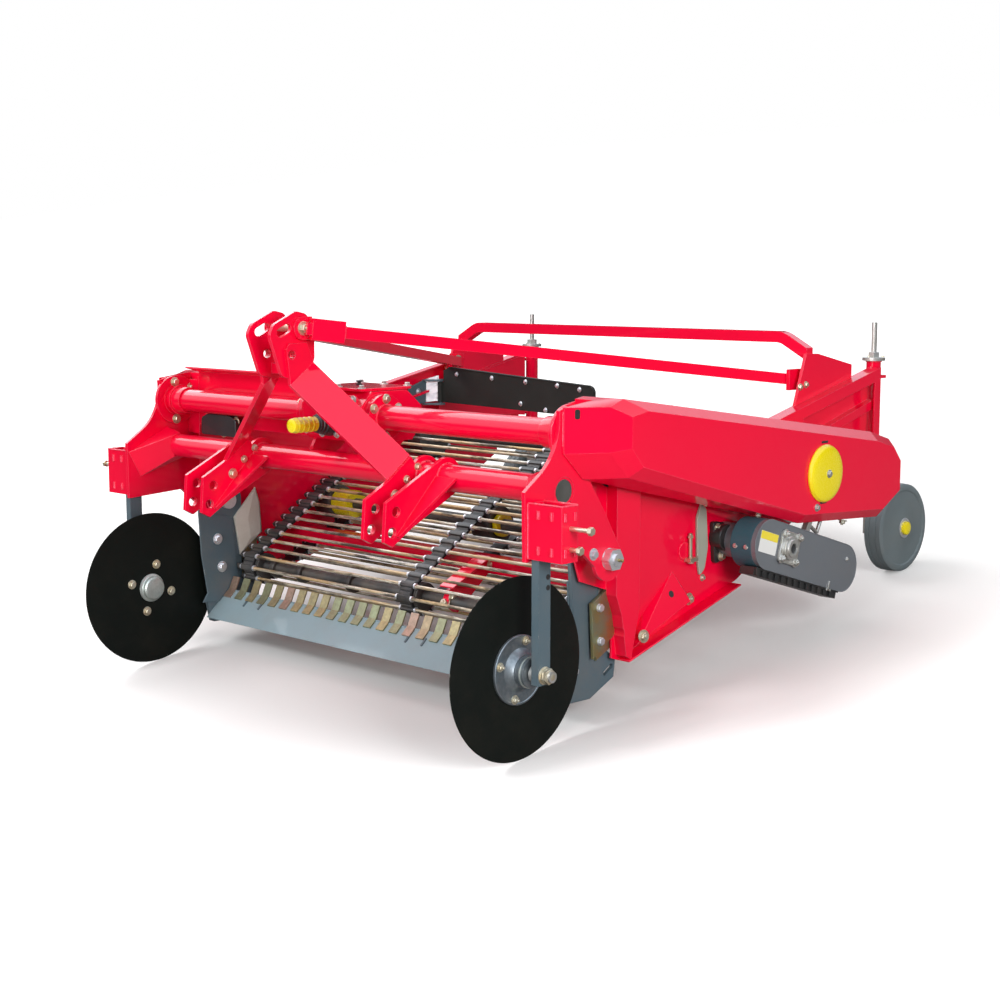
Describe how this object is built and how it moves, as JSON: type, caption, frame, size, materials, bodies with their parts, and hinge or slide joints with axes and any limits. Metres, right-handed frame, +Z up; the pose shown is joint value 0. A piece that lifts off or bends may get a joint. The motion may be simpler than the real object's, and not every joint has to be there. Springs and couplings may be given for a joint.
{
  "type": "tractor-mounted two-row potato digger",
  "caption": "Two-row potato digger on a three-point hitch: disc coulters, digging share, rod web elevator, side chain cases, rear depth wheels and a rubber swath board.",
  "frame": {"origin": "middle of the footprint's bounding box, on the ground plane that the two discs and the two rear wheels stand on", "axes": "+X to the machine's left as it travels, +Y to its rear, +Z up; parked tail-down at the angle at which it rests on its discs and wheels"},
  "size_m": [2.0526, 2.2618, 1.1778],
  "materials": {
    "red_paint": "gloss",
    "disc_black": "satin",
    "slate_paint": "satin",
    "blade_paint": "satin",
    "zinc": "zinc plated",
    "zinc_gold": "yellow passivated zinc",
    "beige_paint": "matt",
    "web_steel": "drawn rod with black rubber belts",
    "roller_plastic": "matt",
    "wheel_rubber": "matt",
    "rubber_sheet": "matt",
    "grey_paint": "satin",
    "black_paint": "satin",
    "yellow_plastic": "gloss"
  },
  "bodies": {
    "frame": {"lower_cross_tube": "red_paint", "upper_tube_left": "red_paint", "upper_tube_right": "red_paint", "gearbox": "red_paint", "gearbox_feet": "red_paint", "half_shaft_shield": "red_paint", "pto_shaft": "zinc", "pto_cap": "yellow_plastic", "front_plate_left": "red_paint", "disc_socket_left": "red_paint", "disc_shank_left": "slate_paint", "disc_spindle_left": "zinc", "front_plate_right": "red_paint", "disc_socket_right": "red_paint", "disc_shank_right": "slate_paint", "disc_spindle_right": "zinc", "outer_ear_left": "red_paint", "mast_leg_left": "red_paint", "outer_ear_right": "red_paint", "mast_leg_right": "red_paint", "mast_head": "red_paint", "mast_stay_left": "red_paint", "mast_stay_right": "red_paint", "side_wall_left": "red_paint", "rear_panel_left": "red_paint", "chain_case_left": "red_paint", "side_wall_right": "red_paint", "rear_panel_right": "red_paint", "chain_case_right": "red_paint", "case_covers": "yellow_plastic", "share_arm_left": "slate_paint", "share_arm_right": "slate_paint", "share_pivots": "zinc", "shaft_carriers": "zinc_gold", "side_guards": "beige_paint", "share_blade": "blade_paint", "share_fingers": "zinc", "rod_web": "web_steel", "web_front_rollers": "roller_plastic", "web_crown_rollers": "roller_plastic", "web_drive_rollers": "roller_plastic", "web_frame": "red_paint", "lower_chain_guard": "grey_paint", "guard_strip": "black_paint", "tension_link": "zinc", "top_rail": "red_paint", "rail_gussets": "red_paint", "rear_post_left": "red_paint", "rear_post_right": "red_paint", "jack_nuts": "zinc", "swath_bracket": "slate_paint"},
    "left_disc": {"disc_coulter_left": "disc_black"},
    "right_disc": {"disc_coulter_right": "disc_black"},
    "left_wheel_leg": {"wheel_leg_left": "zinc"},
    "right_wheel_leg": {"wheel_leg_right": "zinc"},
    "left_wheel": {"rear_wheel_left": "wheel_rubber"},
    "right_wheel": {"rear_wheel_right": "wheel_rubber"},
    "swath_board": {"swath_board": "rubber_sheet"}
  },
  "joints": [
    {"name": "left_disc_spin", "type": "hinge", "parent": "frame", "child": "left_disc", "pos_m": [0.834, -0.88194, 0.249], "axis": [1, 0, 0], "continuous": true},
    {"name": "right_disc_spin", "type": "hinge", "parent": "frame", "child": "right_disc", "pos_m": [-0.834, -0.88194, 0.249], "axis": [1, 0, 0], "continuous": true},
    {"name": "left_wheel_lift", "type": "slide", "parent": "frame", "child": "left_wheel_leg", "axis": [0, 0.1481, 0.989], "range_m": [-0.12, 0]},
    {"name": "left_wheel_spin", "type": "hinge", "parent": "left_wheel_leg", "child": "left_wheel", "pos_m": [0.85, 0.98094, 0.15], "axis": [1, 0, 0], "continuous": true},
    {"name": "right_wheel_lift", "type": "slide", "parent": "frame", "child": "right_wheel_leg", "axis": [0, 0.1481, 0.989], "range_m": [-0.12, 0]},
    {"name": "right_wheel_spin", "type": "hinge", "parent": "right_wheel_leg", "child": "right_wheel", "pos_m": [-0.85, 0.98094, 0.15], "axis": [1, 0, 0], "continuous": true},
    {"name": "swath_board_swing", "type": "hinge", "parent": "frame", "child": "swath_board", "pos_m": [-0.752, 0.46611, 0.72964], "axis": [0, 0.1481, 0.989], "range_deg": [0, 60]}
  ]
}
